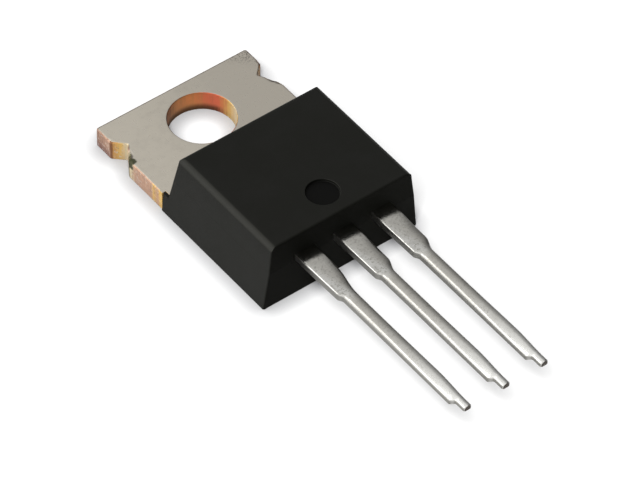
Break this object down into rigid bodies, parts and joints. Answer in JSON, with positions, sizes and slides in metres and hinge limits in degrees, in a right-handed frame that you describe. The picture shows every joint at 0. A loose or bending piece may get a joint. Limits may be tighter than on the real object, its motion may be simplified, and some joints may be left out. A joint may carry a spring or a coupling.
{
  "type": "power mosfet",
  "caption": "Through-hole power transistor in a flat plastic package, with a metal heat-sink tab, a mounting hole and straight leads that leave the plastic at mid height.",
  "frame": {"origin": "on the axis of the mounting hole, at the metal back face", "axes": "+Z out of the back face through the thickness, +Y along the tab towards its free end, leads towards -Y, +X to the right seen from above with the leads towards the viewer"},
  "size_m": [0.0104, 0.0294, 0.0045],
  "materials": {
    "tinned_copper_tab": "satin plated copper, bare copper on the punched edges",
    "tinned_copper_lead": "bright tinned copper",
    "silicon": "polished silicon with aluminium metal",
    "solder": "matt soft solder",
    "bond_wire": "drawn aluminium wire",
    "black_epoxy": "matt black moulding compound"
  },
  "bodies": {
    "root": {"tab_and_drain_lead": "tinned_copper_tab", "gate_lead": "tinned_copper_lead", "source_lead": "tinned_copper_lead", "silicon_die": "silicon", "die_attach_solder": "solder", "gate_bond_wire": "bond_wire", "source_bond_wire_left": "bond_wire", "source_bond_wire_right": "bond_wire", "moulded_body": "black_epoxy"}
  },
  "joints": []
}
